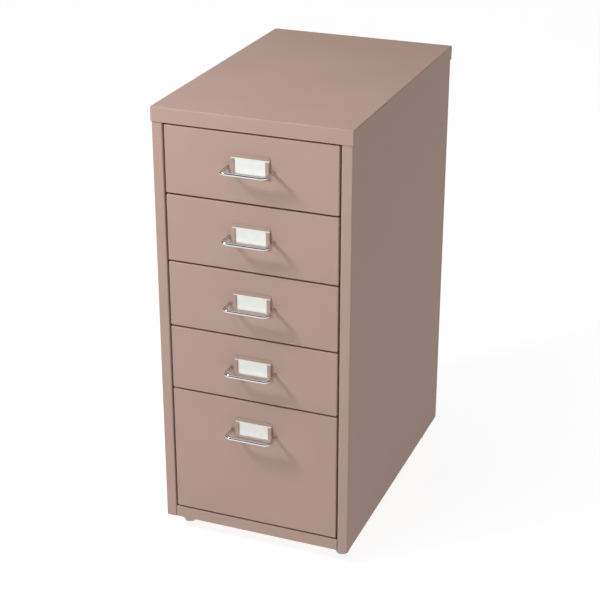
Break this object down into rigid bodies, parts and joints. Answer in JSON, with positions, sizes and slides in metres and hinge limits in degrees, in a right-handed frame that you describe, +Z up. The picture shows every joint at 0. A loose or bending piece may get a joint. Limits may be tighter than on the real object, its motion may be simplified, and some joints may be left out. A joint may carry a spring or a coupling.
{
  "type": "filing cabinet",
  "caption": "Narrow steel drawer cabinet: folded carcass on plastic feet, flush drawers in channel runners, bent-wire pulls and label holders; the bottom drawer is twice as deep.",
  "frame": {"origin": "on the floor, in the middle of the bounding box, which includes the wire pulls", "axes": "+Z up, the drawer fronts face -Y, +X to the right of someone facing the drawers"},
  "size_m": [0.28, 0.457, 0.64],
  "materials": {
    "body_paint": "satin powder coat, dusty pink-brown",
    "pull_chrome": "polished",
    "zinc_steel": "zinc plated",
    "card": "matt card",
    "foot_plastic": "fine texture"
  },
  "bodies": {
    "cabinet": {"top_cap": "body_paint", "left_side_panel": "body_paint", "right_side_panel": "body_paint", "back_panel": "body_paint", "bottom_panel": "body_paint", "bottom_front_rail": "body_paint", "foot_front_left": "foot_plastic", "foot_screw_front_left": "zinc_steel", "foot_front_right": "foot_plastic", "foot_screw_front_right": "zinc_steel", "foot_rear_left": "foot_plastic", "foot_screw_rear_left": "zinc_steel", "foot_rear_right": "foot_plastic", "foot_screw_rear_right": "zinc_steel", "runner_1_left": "body_paint", "runner_1_right": "body_paint", "runner_2_left": "body_paint", "runner_2_right": "body_paint", "runner_3_left": "body_paint", "runner_3_right": "body_paint", "runner_4_left": "body_paint", "runner_4_right": "body_paint", "runner_5_left": "body_paint", "runner_5_right": "body_paint"},
    "drawer_1": {"drawer_1_front": "body_paint", "drawer_1_tray": "body_paint", "drawer_1_pull": "pull_chrome", "drawer_1_pull_nut_left": "zinc_steel", "drawer_1_pull_nut_right": "zinc_steel", "drawer_1_label_holder": "body_paint", "drawer_1_label_card": "card"},
    "drawer_2": {"drawer_2_front": "body_paint", "drawer_2_tray": "body_paint", "drawer_2_pull": "pull_chrome", "drawer_2_pull_nut_left": "zinc_steel", "drawer_2_pull_nut_right": "zinc_steel", "drawer_2_label_holder": "body_paint", "drawer_2_label_card": "card"},
    "drawer_3": {"drawer_3_front": "body_paint", "drawer_3_tray": "body_paint", "drawer_3_pull": "pull_chrome", "drawer_3_pull_nut_left": "zinc_steel", "drawer_3_pull_nut_right": "zinc_steel", "drawer_3_label_holder": "body_paint", "drawer_3_label_card": "card"},
    "drawer_4": {"drawer_4_front": "body_paint", "drawer_4_tray": "body_paint", "drawer_4_pull": "pull_chrome", "drawer_4_pull_nut_left": "zinc_steel", "drawer_4_pull_nut_right": "zinc_steel", "drawer_4_label_holder": "body_paint", "drawer_4_label_card": "card"},
    "drawer_5": {"drawer_5_front": "body_paint", "drawer_5_tray": "body_paint", "drawer_5_pull": "pull_chrome", "drawer_5_pull_nut_left": "zinc_steel", "drawer_5_pull_nut_right": "zinc_steel", "drawer_5_label_holder": "body_paint", "drawer_5_label_card": "card"}
  },
  "joints": [
    {"name": "drawer_1_slide", "type": "slide", "parent": "cabinet", "child": "drawer_1", "axis": [0, -1, 0], "range_m": [0, 0.28]},
    {"name": "drawer_2_slide", "type": "slide", "parent": "cabinet", "child": "drawer_2", "axis": [0, -1, 0], "range_m": [0, 0.28]},
    {"name": "drawer_3_slide", "type": "slide", "parent": "cabinet", "child": "drawer_3", "axis": [0, -1, 0], "range_m": [0, 0.28]},
    {"name": "drawer_4_slide", "type": "slide", "parent": "cabinet", "child": "drawer_4", "axis": [0, -1, 0], "range_m": [0, 0.28]},
    {"name": "drawer_5_slide", "type": "slide", "parent": "cabinet", "child": "drawer_5", "axis": [0, -1, 0], "range_m": [0, 0.28]}
  ]
}
